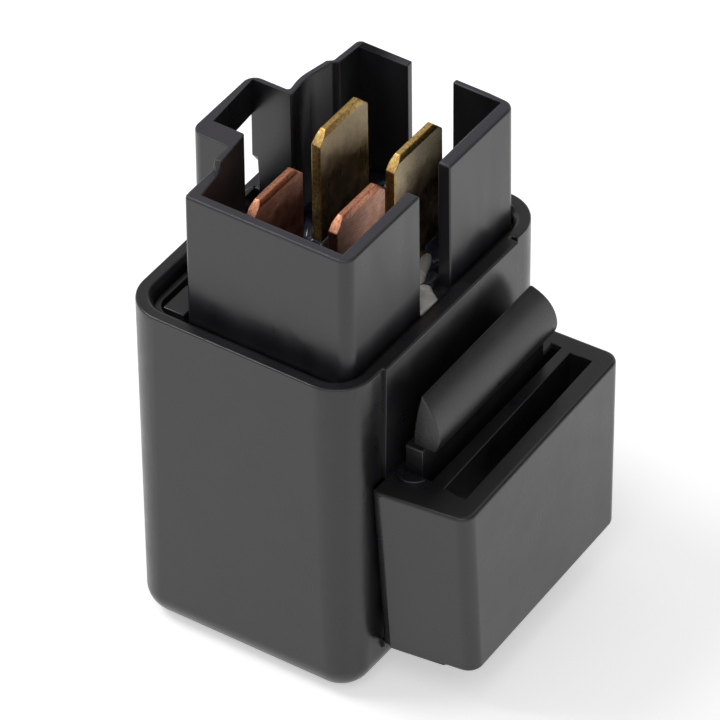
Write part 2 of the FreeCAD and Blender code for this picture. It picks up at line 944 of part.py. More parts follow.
def lead_wire(points, radius, bend):
    # Round wire along a path of straight runs joined by tangent arcs
    path = [Vector(*point) for point in points]
    edges = []
    start = path[0]
    for index in range(1, len(path) - 1):
        here = path[index]
        before = (path[index - 1] - here).normalize()
        after = (path[index + 1] - here).normalize()
        half_angle = before.getAngle(after) / 2
        reach = bend / math.tan(half_angle)
        centre = here + (before + after).normalize() * (bend / math.sin(half_angle))
        middle = centre + (here - centre).normalize() * bend
        edges.append(Part.LineSegment(start, here + before * reach).toShape())
        edges.append(Part.Arc(here + before * reach, middle, here + after * reach).toShape())
        start = here + after * reach
    edges.append(Part.LineSegment(start, path[-1]).toShape())
    direction = path[1] - path[0]
    section = Part.Wire([Part.makeCircle(radius, path[0], direction)])
    return Part.Wire(edges).makePipeShell([section], True, False)


def coil_lead(row, start, side):
    # Wire from the tail of a coil blade, out past the yoke and down to the winding
    middle = start + blade_width / 2
    level = plug_base - tail_reach / 2
    face = row + side * blade_thickness / 2
    across = side * (bobbin_radius + lead_side_gap + lead_radius)
    low = yoke_under - lead_drop
    touch = winding_radius + tape_thickness
    return lead_wire([
        (face, middle, level),
        (across, middle, level),
        (across, coil_place, level - frame_gap / 2 - lead_bend),
        (across, coil_place, low),
        (side * touch, coil_place, low),
    ], lead_radius, lead_bend / 2)


def resistor_axis():
    middle = coil_right_start + blade_width / 2
    left_middle = coil_left_start + blade_width / 2
    return (middle + left_middle) / 2, plug_base - tail_reach / 2 - resistor_drop


def resistor_body():
    y, z = resistor_axis()
    left = blade_row_left + blade_thickness / 2
    right = blade_row_right - blade_thickness / 2
    start = (left + right - resistor_length) / 2
    body = Part.makeCylinder(resistor_radius, resistor_length, Vector(start, y, z), Vector(1, 0, 0))
    return body.makeFillet(resistor_round, body.Edges)


def resistor_leads():
    y, z = resistor_axis()
    left = blade_row_left + blade_thickness / 2
    right = blade_row_right - blade_thickness / 2
    run = (right - left - resistor_length) / 2
    wires = []
    for start in (left, right - run):
        wires.append(Part.makeCylinder(resistor_lead_radius, run, Vector(start, y, z), Vector(1, 0, 0)))
    return Part.makeCompound(wires)


def rivet_places():
    # Two rivets that hold the contact leaf under the armature
    end = leg_inner + armature_reach - rivet_end_margin
    return [end - rivet_spacing, end]


def armature():
    half = armature_width / 2
    tail_half = armature_tail_width / 2
    end = leg_inner + armature_reach
    corners = [
        (-tail_half, leg_inner - tail_length, armature_tail_corner),
        (tail_half, leg_inner - tail_length, armature_tail_corner),
        (tail_half, leg_outer, 0),
        (half, leg_outer, 0),
        (half, end, armature_corner),
        (-half, end, armature_corner),
        (-half, leg_outer, 0),
        (-tail_half, leg_outer, 0),
    ]
    plate = prism(corners, armature_under, armature_top)
    for y in rivet_places():
        plate = plate.cut(cylinder(rivet_radius, armature_under - spare, armature_top + spare, 0, y))
    return plate


def contact_spring():
    near = rivet_places()[0] - leaf_rivet_margin
    plan = rectangle(leaf_width, leaf_end - near, leaf_corner, 0, (near + leaf_end) / 2)
    leaf = prism(plan, leaf_under, armature_under)
    for y in rivet_places() + [contact_place]:
        leaf = leaf.cut(cylinder(rivet_radius, leaf_under - spare, armature_under + spare, 0, y))
    return leaf


def armature_rivets():
    rivets = []
    for y in rivet_places():
        shank = cylinder(rivet_radius, leaf_under, armature_top, 0, y)
        head = cylinder(rivet_head_radius, leaf_under - rivet_head_height, leaf_under, 0, y)
        rivets.append(shank.fuse(head).removeSplitter())
    return Part.makeCompound(rivets)


def moving_contact():
    face = cylinder(contact_radius, armature_under, moving_contact_top, 0, contact_place)
    face = face.makeChamfer(contact_chamfer, flat_edges(face, moving_contact_top))
    shank = cylinder(rivet_radius, leaf_under, armature_under, 0, contact_place)
    closed = cylinder(rivet_head_radius, leaf_under - rivet_head_height, leaf_under, 0, contact_place)
    return face.fuse(shank).fuse(closed).removeSplitter()


def return_spring():
    # Coil spring that pulls the tail of the armature up towards the tab of the yoke
    margin = spring_wire / 2
    height = spring_length - 2 * margin
    pitch = height / spring_turns
    helix = Part.makeHelix(pitch, height, spring_radius - margin)
    section = []
    for index in range(spring_wire_sides):
        angle = 2 * math.pi * index / spring_wire_sides
        section.append(Vector(spring_radius - margin + margin * math.cos(angle), 0, margin * math.sin(angle)))
    wire = Part.makePolygon(section + section[:1])
    coil = Part.Wire(helix).makePipeShell([wire], True, True)
    coil.translate(Vector(0, spring_place, armature_top + margin))
    return coil


def sealing_resin():
    fill = prism(shroud_inner(), flange_top, resin_top)
    half = blade_thickness / 2
    for row, start in coil_blades() + ((blade_row_left, common_start), (blade_row_right, switched_start)):
        fill = fill.cut(block(row - half, row + half, start, start + blade_width,
                              flange_top - spare, resin_top + spare))
    return fill


pieces = {
    "rubber_boot": rubber_boot(),
    "relay_case": relay_case(),
    "terminal_base": terminal_base(),
    "sealing_resin": sealing_resin(),
    "coil_terminal_left": coil_terminal(blade_row_left, coil_left_start, coil_left_top),
    "coil_terminal_right": coil_terminal(blade_row_right, coil_right_start, coil_right_top),
    "common_terminal": common_terminal(),
    "switched_terminal": switched_terminal(),
    "common_rivet": common_rivet(),
    "fixed_contact": fixed_contact(),
    "yoke": yoke(),
    "iron_core": iron_core(),
    "coil_bobbin": coil_bobbin(),
    "coil_winding": coil_winding(),
    "winding_tape": winding_tape(),
    "coil_lead_left": coil_lead(blade_row_left, coil_left_start, -1),
    "coil_lead_right": coil_lead(blade_row_right, coil_right_start, 1),
    "resistor_body": resistor_body(),
    "resistor_leads": resistor_leads(),
    "return_spring": return_spring(),
    "armature": armature(),
    "contact_spring": contact_spring(),
    "armature_rivets": armature_rivets(),
    "moving_contact": moving_contact(),
}

for name, shape in pieces.items():
    shape.exportStep("parts/" + name + ".step")
    print(name, len(shape.Solids), "solids", round(shape.Volume, 2), "mm3", shape.isValid())
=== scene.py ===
import json
import math

import bmesh
import bpy
from mathutils import Matrix, Vector, noise
from mathutils.kdtree import KDTree

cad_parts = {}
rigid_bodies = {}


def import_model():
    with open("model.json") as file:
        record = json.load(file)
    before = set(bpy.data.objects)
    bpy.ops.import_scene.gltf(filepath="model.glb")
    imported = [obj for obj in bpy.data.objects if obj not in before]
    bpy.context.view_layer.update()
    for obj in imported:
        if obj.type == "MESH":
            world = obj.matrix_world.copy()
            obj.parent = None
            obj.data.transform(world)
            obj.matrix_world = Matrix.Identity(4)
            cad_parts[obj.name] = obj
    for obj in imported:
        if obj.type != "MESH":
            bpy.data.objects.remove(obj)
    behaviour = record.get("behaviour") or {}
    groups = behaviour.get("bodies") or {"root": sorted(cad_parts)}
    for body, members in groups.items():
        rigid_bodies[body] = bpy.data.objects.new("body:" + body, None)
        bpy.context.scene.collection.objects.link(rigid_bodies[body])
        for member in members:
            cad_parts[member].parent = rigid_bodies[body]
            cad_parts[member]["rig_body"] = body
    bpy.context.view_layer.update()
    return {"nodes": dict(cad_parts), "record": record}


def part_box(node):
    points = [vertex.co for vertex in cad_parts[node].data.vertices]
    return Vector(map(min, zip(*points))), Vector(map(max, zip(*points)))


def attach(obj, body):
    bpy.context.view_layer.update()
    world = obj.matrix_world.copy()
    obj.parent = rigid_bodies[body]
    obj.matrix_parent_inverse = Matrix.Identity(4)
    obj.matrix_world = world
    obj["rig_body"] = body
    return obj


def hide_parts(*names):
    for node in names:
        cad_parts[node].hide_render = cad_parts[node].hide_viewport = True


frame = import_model()        # the CAD nodes, which stay where they are

mm = 0.001               # sizes below are in millimetres, Blender's are in metres
nodes = frame["nodes"]
scene = bpy.context.scene
print("frame loaded,", len(nodes), "nodes")


def toLinear(hexColour):
    # sRGB hex to the linear colour that the shaders take
    channels = [int(hexColour[i:i + 2], 16) / 255 for i in (1, 3, 5)]
    linear = [c / 12.92 if c <= 0.04045 else ((c + 0.055) / 1.055) ** 2.4 for c in channels]
    return (*linear, 1)


def addNode(tree, kind, settings=None, links=None):
    # a shader node with its settings, and what feeds each of its inputs
    node = tree.nodes.new("ShaderNode" + kind)
    for key, value in (settings or {}).items():
        if isinstance(key, int) or key in node.inputs:
            node.inputs[key].default_value = value
        else:
            setattr(node, key, value)
    for key, source in (links or {}).items():
        tree.links.new(source, node.inputs[key])
    return node


def newMaterial(name, settings):
    # a material with one Principled shader, ready for its patterns
    material = bpy.data.materials.new(name)
    material.use_nodes = True
    tree = material.node_tree
    tree.nodes.clear()
    shader = addNode(tree, "BsdfPrincipled", settings)
    addNode(tree, "OutputMaterial", links={"Surface": shader.outputs["BSDF"]})
    place = addNode(tree, "TexCoord").outputs["Object"]
    return material, tree, shader, place


def grain(tree, place, size, detail=3, stretch=(1, 1, 1), soft=0.5):
    # noise whose grains are about size millimetres across, drawn out where stretch is under 1
    mapping = addNode(tree, "Mapping", {"Scale": stretch}, {"Vector": place})
    settings = {"Scale": 1 / (size * mm), "Detail": detail, "Roughness": soft}
    return addNode(tree, "TexNoise", settings, {"Vector": mapping.outputs["Vector"]}).outputs["Fac"]


def spread(low, high, start=0.3, end=0.7):
    # the settings that spread a factor over a range of values
    return {"From Min": start, "From Max": end, "To Min": low, "To Max": high}


def twoTone(tree, factor, first, second, start=0.35, end=0.65):
    # a colour that wanders between two hex colours
    share = addNode(tree, "MapRange", spread(0, 1, start, end), {"Value": factor}).outputs["Result"]
    settings = {"data_type": "RGBA", 6: toLinear(first), 7: toLinear(second)}
    return addNode(tree, "Mix", settings, {0: share}).outputs[2]


def dress(tree, shader, colour, roughness, height=None, depth=0):
    # gives a shader its colour, roughness and relief, which is depth millimetres from lowest to highest
    tree.links.new(colour, shader.inputs["Base Color"])
    tree.links.new(roughness, shader.inputs["Roughness"])
    if height is not None:
        relief = addNode(tree, "Bump", {"Strength": 1, "Distance": depth * mm}, {"Height": height})
        tree.links.new(relief.outputs["Normal"], shader.inputs["Normal"])


# Rubber and plastics

rubber = {
    "dark": "#17171a", "light": "#1d1d1f",   # carbon black, a little uneven
    "ior": 1.55, "shine": (0.26, 0.34),
    "mottleSize": 2.6, "skinSize": 0.35, "skinDepth": 0.006,
}


def mouldedRubber():
    # compression-moulded EPDM: a satin skin that mirrors pale surroundings softly, with faint orange peel
    material, tree, shader, place = newMaterial("mouldedRubber", {"IOR": rubber["ior"]})
    mottle = grain(tree, place, rubber["mottleSize"])
    colour = twoTone(tree, mottle, rubber["dark"], rubber["light"])
    shine = addNode(tree, "MapRange", spread(*rubber["shine"]), {"Value": mottle}).outputs["Result"]
    dress(tree, shader, colour, shine, grain(tree, place, rubber["skinSize"], 2), rubber["skinDepth"])
    return material


basePlastic = {
    "dark": "#17171a", "light": "#1e1e22", "ior": 1.57, "shine": (0.26, 0.36),
    "flowSize": 1.8, "flowStretch": (1, 1, 0.25), "skinSize": 0.22, "skinDepth": 0.005,
    # scuffed, rougher wall tops whose paler colour with a purple cast is painted sheen: heights where they
    # begin, and how far they face up
    "edge": "#2a2730", "edgeShine": 0.5, "edgeSize": 0.16, "edgeDepth": 0.03,
    "edgeHeights": (37, 38), "edgeSlopes": (0.45, 0.95),
}


def mouldedPbt():
    # injection-moulded PBT: smooth and dark, with flow lines up the walls, and rough tops whose paler colour
    # is painted sheen
    material, tree, shader, place = newMaterial("mouldedPbt", {"IOR": basePlastic["ior"]})
    flow = grain(tree, place, basePlastic["flowSize"], 3, basePlastic["flowStretch"])
    body = twoTone(tree, flow, basePlastic["dark"], basePlastic["light"])
    normal = addNode(tree, "NewGeometry").outputs["Normal"]
    upward = addNode(tree, "SeparateXYZ", links={0: normal}).outputs["Z"]
    height = addNode(tree, "SeparateXYZ", links={0: place}).outputs["Z"]
    start, end = [level * mm for level in basePlastic["edgeHeights"]]
    isHigh = addNode(tree, "MapRange", spread(0, 1, start, end), {"Value": height}).outputs["Result"]
    slopes = spread(0, 1, *basePlastic["edgeSlopes"])
    isUpward = addNode(tree, "MapRange", slopes, {"Value": upward}).outputs["Result"]
    isTop = addNode(tree, "Math", {"operation": "MULTIPLY"}, {0: isUpward, 1: isHigh}).outputs[0]
    # paler colour on the high, up-facing tops: painted sheen
    scuffAndSheen = {"data_type": "RGBA", 7: toLinear(basePlastic["edge"])}
    colour = addNode(tree, "Mix", scuffAndSheen, {0: isTop, 6: body}).outputs[2]
    shine = addNode(tree, "MapRange", spread(*basePlastic["shine"]), {"Value": flow}).outputs["Result"]
    roughness = addNode(tree, "Mix", {3: basePlastic["edgeShine"]}, {0: isTop, 2: shine}).outputs[0]
    skin = grain(tree, place, basePlastic["skinSize"], 2)
    rough = grain(tree, place, basePlastic["edgeSize"], 4)
    share = basePlastic["skinDepth"] / basePlastic["edgeDepth"]
    fine = addNode(tree, "Math", {"operation": "MULTIPLY", 1: share}, {0: skin}).outputs[0]
    relief = addNode(tree, "Mix", links={0: isTop, 2: fine, 3: rough}).outputs[0]
    dress(tree, shader, colour, roughness, relief, basePlastic["edgeDepth"])
    return material


epoxy = {
    "ior": 1.57,
    # tones, roughness and size of the clouds: of the pour, and of the two pale patches in the right gap,
    # whose pale grey is a painted highlight
    "clear": (("#101116", "#2b2e40"), (0.08, 0.18), 2.4),
    "paleHighlight": (("#a9a9a4", "#bcbcb8"), (0.2, 0.32), 0.9),
}


def castEpoxy(name, tones, shine, cloudSize):
    # poured two-part epoxy: glossy, near black with a bluish bloom, or pale grey as a painted highlight
    material, tree, shader, place = newMaterial(name, {"IOR": epoxy["ior"]})
    cloud = grain(tree, place, cloudSize, 4)
    roughness = addNode(tree, "MapRange", spread(*shine), {"Value": cloud}).outputs["Result"]
    dress(tree, shader, twoTone(tree, cloud, *tones), roughness)
    return material


plain = {"mottleSize": 1.5, "shineSpread": 0.05, "skinSize": 0.2, "skinDepth": 0.004}


def plainPlastic(name, first, second, roughness, ior):
    # moulded or wound plastic that shows little: a soft mottle and a faint skin
    material, tree, shader, place = newMaterial(name, {"IOR": ior})
    mottle = grain(tree, place, plain["mottleSize"])
    ends = spread(roughness - plain["shineSpread"], roughness + plain["shineSpread"])
    shine = addNode(tree, "MapRange", ends, {"Value": mottle}).outputs["Result"]
    skin = grain(tree, place, plain["skinSize"], 2)
    dress(tree, shader, twoTone(tree, mottle, first, second), shine, skin, plain["skinDepth"])
    return material


# Metals

rolled = {
    "anisotropy": 0.4, "tarnishSize": 1.4, "tarnishTones": (0.4, 0.68),
    "wanderSize": 1.1, "wander": 0.8,                    # how far the limit of the rough, pale top strays
    "streakSize": 0.5, "gritSize": 0.1, "gritTones": (0.3, 0.6),   # real grain is finer, drawn to show
    "shine": (0.24, 0.4), "paleTopRoughness": 0.66, "depth": 0.045, "streakShare": 0.4,
}
# the pale tones of the top, and the heights where they begin, paint a highlight
copper = {
    "bright": "#c4846a", "tarnished": "#8a4a34", "paleTopHighlight": ("#d89c82", "#f6cfbc"),
    "paleTopHeights": (35.2, 38.0), "streakStretch": (1, 0.1, 1), "gritStretch": (1, 0.2, 1),
    "cut": ("#f6b496", "#a4603e"),
}
brass = {
    "bright": "#bfa070", "tarnished": "#80633c", "paleTopHighlight": ("#dcc8a0", "#fff2d6"),
    "paleTopHeights": (34.8, 38.2), "streakStretch": (1, 1, 0.1), "gritStretch": (1, 1, 1),
    "cut": ("#fad68a", "#8e632a"),
}


def rolledStrip(name, strip):
    # cold-rolled strip: a drawn-out grain, wandering tarnish, and a rougher top whose paler colour is a
    # painted highlight
    material, tree, shader, place = newMaterial(name, {"Metallic": 1, "Anisotropic": rolled["anisotropy"]})
    tarnish = grain(tree, place, rolled["tarnishSize"], 5, soft=0.6)
    height = addNode(tree, "SeparateXYZ", links={0: place}).outputs["Z"]
    stray = spread(-rolled["wander"] * mm, rolled["wander"] * mm)
    patches = grain(tree, place, rolled["wanderSize"], 4)
    wander = addNode(tree, "MapRange", stray, {"Value": patches}).outputs["Result"]
    limit = addNode(tree, "Math", {"operation": "ADD"}, {0: height, 1: wander}).outputs[0]
    start, end = [level * mm for level in strip["paleTopHeights"]]
    isPaleRoughTop = addNode(tree, "MapRange", spread(0, 1, start, end), {"Value": limit}).outputs["Result"]
    streaks = grain(tree, place, rolled["streakSize"], 4, strip["streakStretch"], 0.6)
    grit = grain(tree, place, rolled["gritSize"], 3, strip["gritStretch"], 0.7)
    body = twoTone(tree, tarnish, strip["bright"], strip["tarnished"], *rolled["tarnishTones"])
    # the paler colour of the top is a painted highlight; its roughness and grit are relief
    highlightTone = twoTone(tree, grit, *strip["paleTopHighlight"], *rolled["gritTones"])
    colour = addNode(tree, "Mix", {"data_type": "RGBA"}, {0: isPaleRoughTop, 6: body, 7: highlightTone}).outputs[2]
    shine = addNode(tree, "MapRange", spread(*rolled["shine"]), {"Value": streaks}).outputs["Result"]
    roughness = addNode(tree, "Mix", {3: rolled["paleTopRoughness"]}, {0: isPaleRoughTop, 2: shine}).outputs[0]
    multiply = {"operation": "MULTIPLY", 1: rolled["streakShare"]}
    fine = addNode(tree, "Math", multiply, {0: streaks}).outputs[0]
    relief = addNode(tree, "Mix", links={0: isPaleRoughTop, 2: fine, 3: grit}).outputs[0]
    dress(tree, shader, colour, roughness, relief, rolled["depth"])
    return material


sheared = {
    "tearSize": 0.12, "stretch": (1, 0.5, 0.5), "tones": (0.3, 0.7),   # real tears are finer, drawn to show
    "shine": (0.42, 0.26), "depth": 0.034,
}


def shearedEdge(name, bright, dull):
    # the cut edge of stamped strip: crushed and torn metal that sparkles
    material, tree, shader, place = newMaterial(name, {"Metallic": 1})
    tear = grain(tree, place, sheared["tearSize"], 4, sheared["stretch"], 0.7)
    colour = twoTone(tree, tear, dull, bright, *sheared["tones"])
    shine = addNode(tree, "MapRange", spread(*sheared["shine"]), {"Value": tear}).outputs["Result"]
    dress(tree, shader, colour, shine, tear, sheared["depth"])
    return material


plated = {"toneSize": 0.9, "shineSpread": 0.06, "grainSize": 0.14, "grainDepth": 0.006}


def plainMetal(name, bright, dull, roughness, stretch=(1, 1, 1)):
    # plated, drawn or coined metal: a fine satin grain and a slight change of tone
    material, tree, shader, place = newMaterial(name, {"Metallic": 1})
    tone = grain(tree, place, plated["toneSize"], 4)
    ends = spread(roughness - plated["shineSpread"], roughness + plated["shineSpread"])
    shine = addNode(tree, "MapRange", ends, {"Value": tone}).outputs["Result"]
    satin = grain(tree, place, plated["grainSize"], 3, stretch)
    dress(tree, shader, twoTone(tree, tone, bright, dull), shine, satin, plated["grainDepth"])
    return material


materials = {
    "boot_rubber": mouldedRubber(),
    "base_plastic": mouldedPbt(),
    "resin": castEpoxy("castEpoxy", *epoxy["clear"]),
    "case_plastic": plainPlastic("mouldedCasePbt", "#161618", "#1e1e21", 0.42, 1.57),
    "blade_copper": rolledStrip("rolledCopper", copper),
    "blade_brass": rolledStrip("rolledBrass", brass),
    "rivet_brass": plainMetal("turnedBrass", "#d9bb72", "#b08f4c", 0.28),
    "contact_silver": plainMetal("coinedSilver", "#e2e0da", "#b9b5ab", 0.25),
    "frame_iron": plainMetal("zincPlatedIron", "#c3c4c2", "#989a98", 0.36),
    "bobbin_plastic": plainPlastic("mouldedNylon", "#d8d2bf", "#c6bfa8", 0.45, 1.53),
    "winding_copper": plainMetal("enamelledCopper", "#b4653c", "#8a4324", 0.3, (1, 1, 4)),
    "tape": plainPlastic("polyesterTape", "#d8a938", "#c2922a", 0.3, 1.58),
    "resistor_lacquer": plainPlastic("lacqueredCeramic", "#5f86a0", "#4f748d", 0.25, 1.52),
    "lead_tin": plainMetal("tinnedWire", "#cfd0d0", "#a9abab", 0.3),
    "spring_steel": plainMetal("drawnSpringSteel", "#a9abae", "#7f8184", 0.3),
    "leaf_bronze": plainMetal("rolledBronze", "#c58d55", "#96643a", 0.3, (1, 0.2, 1)),
}
# pale grey epoxy for the two patches by the right gap: a painted highlight
paleHighlightResin = castEpoxy("paleHighlightEpoxy", *epoxy["paleHighlight"])
shearedEdges = {
    "blade_copper": shearedEdge("shearedCopper", *copper["cut"]),
    "blade_brass": shearedEdge("shearedBrass", *brass["cut"]),
}
print("materials made,", len(materials) + len(shearedEdges) + 1)


# Pieces

# how near things have to be to count as one or as level: millimetres, degrees for flat, radians for seam,
# and the share of a direction that is vertical
near = {
    "points": 0.012, "levels": 0.02, "cut": 0.001, "flat": 0.6, "seam": 0.01,
    "levelNormal": 0.999, "uprightEdge": 0.7,
}


def joinFlatFaces(bm):
    angle = math.radians(near["flat"])
    bmesh.ops.dissolve_limit(bm, angle_limit=angle, verts=bm.verts, edges=bm.edges, delimit={"SEAM"})


def isUpright(edge):
    return abs((edge.verts[0].co - edge.verts[1].co).normalized().z) > near["uprightEdge"]


def meshOfNode(node, seams=()):
    # an editable copy of a CAD node's mesh, with its flat faces whole again
    bm = bmesh.new()
    bm.from_mesh(nodes[node].data)
    bmesh.ops.remove_doubles(bm, verts=bm.verts, dist=near["points"] * mm)
    joinFlatFaces(bm)
    for level, x, y, heading in seams:
        # a straight seam across the level faces at one height, so that no face has a hole in it
        faces = [f for f in bm.faces if abs(f.normal.z) > near["levelNormal"]
                 and abs(f.calc_center_median().z / mm - level) < near["levels"]]
        geometry = set(faces)
        for face in faces:
            geometry.update(face.edges, face.verts)
        turn = math.radians(heading)
        across = (math.cos(turn), math.sin(turn), 0)
        cut = bmesh.ops.bisect_plane(bm, geom=list(geometry), dist=near["cut"] * mm,
                                     plane_co=(x * mm, y * mm, 0), plane_no=across)
        for part in cut["geom_cut"]:
            if isinstance(part, bmesh.types.BMEdge) and part.calc_face_angle(1) < near["seam"]:
                part.seam = True
    if seams:
        joinFlatFaces(bm)
    return bm


def turnCrease(bm, start, end, newStart):
    # a flat crease that runs out along a rounded edge gets another start, square to that edge
    def nearest(place):
        return min(bm.verts, key=lambda v: (v.co / mm - Vector(place)).length)
    first, last = nearest(start), nearest(end)
    crease = next(e for e in first.link_edges if e.other_vert(first) == last)
    bmesh.ops.dissolve_edges(bm, edges=[crease])
    first, last = nearest(newStart), nearest(end)
    shared = next(f for f in first.link_faces if last in f.verts)
    bmesh.utils.face_split(shared, first, last)


def roundEdges(bm, name, widthAt, sharpAngle=28, segments=3):
    # rounds each sharp outer edge by the width in millimetres that widthAt gives for it
    weights = bm.edges.layers.float.new("bevel_weight_edge")
    widths = {}
    for edge in bm.edges:
        if edge.is_convex and edge.calc_face_angle(0) > math.radians(sharpAngle):
            middle = (edge.verts[0].co + edge.verts[1].co) / (2 * mm)
            widths[edge] = widthAt(middle, edge)
    widest = max(widths.values())
    for edge, width in widths.items():
        edge[weights] = width / widest
    mesh = bpy.data.meshes.new(name)
    bm.to_mesh(mesh)
    bm.free()
    draft = bpy.data.objects.new(name, mesh)
    scene.collection.objects.link(draft)
    bevel = draft.modifiers.new("round", "BEVEL")
    bevel.limit_method = "WEIGHT"
    bevel.width = widest * mm
    bevel.segments = segments
    bevel.use_clamp_overlap = False
    bevel.loop_slide = False               # even widths where a flat seam meets the edge
    bevel.miter_outer = "MITER_ARC"
    rounded = bpy.data.meshes.new_from_object(draft.evaluated_get(bpy.context.evaluated_depsgraph_get()))
    bpy.data.objects.remove(draft)
    return rounded


def addPiece(name, mesh, node, slot, smoothAngle=35, extras=()):
    # a finished piece that stands for its CAD node and moves with that node's body
    mesh.name = name
    mesh.polygons.foreach_set("use_smooth", [True] * len(mesh.polygons))
    mesh.set_sharp_from_angle(angle=math.radians(smoothAngle))
    for material in (materials[slot], *extras):
        mesh.materials.append(material)
    piece = bpy.data.objects.new(name, mesh)
    scene.collection.objects.link(piece)
    shading = piece.modifiers.new("flatFaces", "WEIGHTED_NORMAL")
    shading.keep_sharp = True
    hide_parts(node)
    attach(piece, nodes[node]["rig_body"])
    return piece


# Rubber boot, with its edges as soft as the mould leaves them

boot = {
    "rimEdge": 0.16, "mouthEdge": 0.1, "pocketEdge": 0.32, "slotEdge": 0.06, "beadEdge": 0.14,
    "webEdge": 0.08, "panelEdge": 0.04,
    "rim": 29.85, "beadFoot": 21.5, "pocketTop": 19.45, "pocketFoot": 3.6, "margin": 0.1,    # heights
    "mouthDepth": 1.0, "mouthTo": 10.12,         # the mouth's edge: below the rim, and short of the groove
    "cavityHalf": (8.9, 11.9), "slotHalf": (1.45, 9.1), "pocketHalf": 9.4,
    "panelFrom": 9.5, "pocketFrom": 10.4, "webFrom": 10.9, "pocketOuter": 15.5, "pocketMiddle": 0.5,
    "slotPlace": (15.04, 2.1), "slotTurn": 2.2, "webPlace": (11.67, -7.09), "webTurn": 1.0,
}


def bootSeams():
    slot = (*boot["slotPlace"], boot["slotTurn"])
    return (
        (boot["rim"], 0, 0, 0), (boot["rim"], 0, 0, 90),
        (boot["pocketTop"], *slot), (boot["pocketTop"], *boot["webPlace"], boot["webTurn"]),
        (boot["pocketFoot"], *slot),
    )


def bootEdgeWidth(middle, edge):
    fromSlot = [abs(middle[axis] - boot["slotPlace"][axis]) for axis in (0, 1)]
    fromMiddle = abs(middle.y - boot["pocketMiddle"])
    isOuter = middle.x > boot["pocketOuter"] or fromMiddle > boot["pocketHalf"]
    if middle.z > boot["rim"] - boot["margin"]:
        return boot["rimEdge"]
    if middle.z > boot["rim"] - boot["mouthDepth"] and middle.x < boot["mouthTo"]:
        return boot["mouthEdge"]
    if abs(middle.x) < boot["cavityHalf"][0] and abs(middle.y) < boot["cavityHalf"][1]:
        return 0                                                    # inside the boot, under the relay
    if middle.x > boot["webFrom"] and middle.z > boot["beadFoot"]:
        return boot["beadEdge"]
    if middle.x > boot["webFrom"] and middle.z > boot["pocketTop"] + boot["margin"]:
        return boot["webEdge"]
    if fromSlot[0] < boot["slotHalf"][0] and fromSlot[1] < boot["slotHalf"][1]:
        return boot["slotEdge"]
    if middle.x > boot["pocketFrom"] and not isUpright(edge) and isOuter:
        return boot["pocketEdge"]
    return boot["panelEdge"] if middle.x > boot["panelFrom"] else 0


addPiece("boot", roundEdges(meshOfNode("rubber_boot", bootSeams()), "boot", bootEdgeWidth),
         "rubber_boot", "boot_rubber")
print("boot made")


# Moulded base with the connector shroud

base = {
    "thinEdge": 0.12, "thickEdge": 0.25, "frontEdge": 0.25, "uprightEdge": 0.14, "lipEdge": 0.1,
    "flange": 27.65, "lip": 28.85, "shroudTop": 40.55,             # heights
    "flangeMargin": 0.3, "lipMargin": 0.1, "topMargin": 0.3,
    "bulgeEdge": 0.04, "bulgeInside": ((-8.4, -3.7), (-4.8, 2.05)),  # crisp, because its corner is thin
    "right": 6.9, "front": -9.3,                                    # where the thick walls begin
    "rampCrease": ((-5.7, 2.4, 41.35), (-4.97, 2.4, 41.35), (-5.46, 2.7, 41.32)),
}


def baseEdgeWidth(middle, edge):
    if middle.z < base["flange"] + base["flangeMargin"]:
        return 0                                                    # under the resin or inside the boot
    if middle.z < base["lip"] + base["lipMargin"]:
        return base["lipEdge"]
    if isUpright(edge):
        return base["uprightEdge"]
    if middle.z < base["shroudTop"] - base["topMargin"]:
        return base["thinEdge"]
    first, last = base["bulgeInside"]
    if first[0] < middle.x < last[0] and first[1] < middle.y < last[1]:
        return base["bulgeEdge"]
    if middle.x > base["right"]:
        return base["thickEdge"]
    return base["frontEdge"] if middle.y < base["front"] else base["thinEdge"]


def baseSeams():
    return [(base[level], 0, 0, heading) for level in ("flange", "lip") for heading in (0, 90)]


baseMesh = meshOfNode("terminal_base", baseSeams())
turnCrease(baseMesh, *base["rampCrease"])
addPiece("terminalBase", roundEdges(baseMesh, "terminalBase", baseEdgeWidth), "terminal_base", "base_plastic")
print("base made")


# Blades, rolled on their flats and sheared round their edges

blade = {"edge": 0.1, "flatShare": 0.97}                        # bevelled faces count as edge


def addBlade(name, node, slot):
    mesh = roundEdges(meshOfNode(node), name, lambda middle, edge: blade["edge"])
    for polygon in mesh.polygons:
        onFlat = abs(polygon.normal.x) > blade["flatShare"]
        polygon.material_index = 0 if onFlat else 1
    addPiece(name, mesh, node, slot, extras=[shearedEdges[slot]])


for name, node, slot in (
    ("coilBladeLeft", "coil_terminal_left", "blade_copper"),
    ("coilBladeRight", "coil_terminal_right", "blade_copper"),
    ("commonBlade", "common_terminal", "blade_brass"),
    ("switchedBlade", "switched_terminal", "blade_brass"),
):
    addBlade(name, node, slot)
print("blades made")


# Resin, which climbs a little at every wall and blade

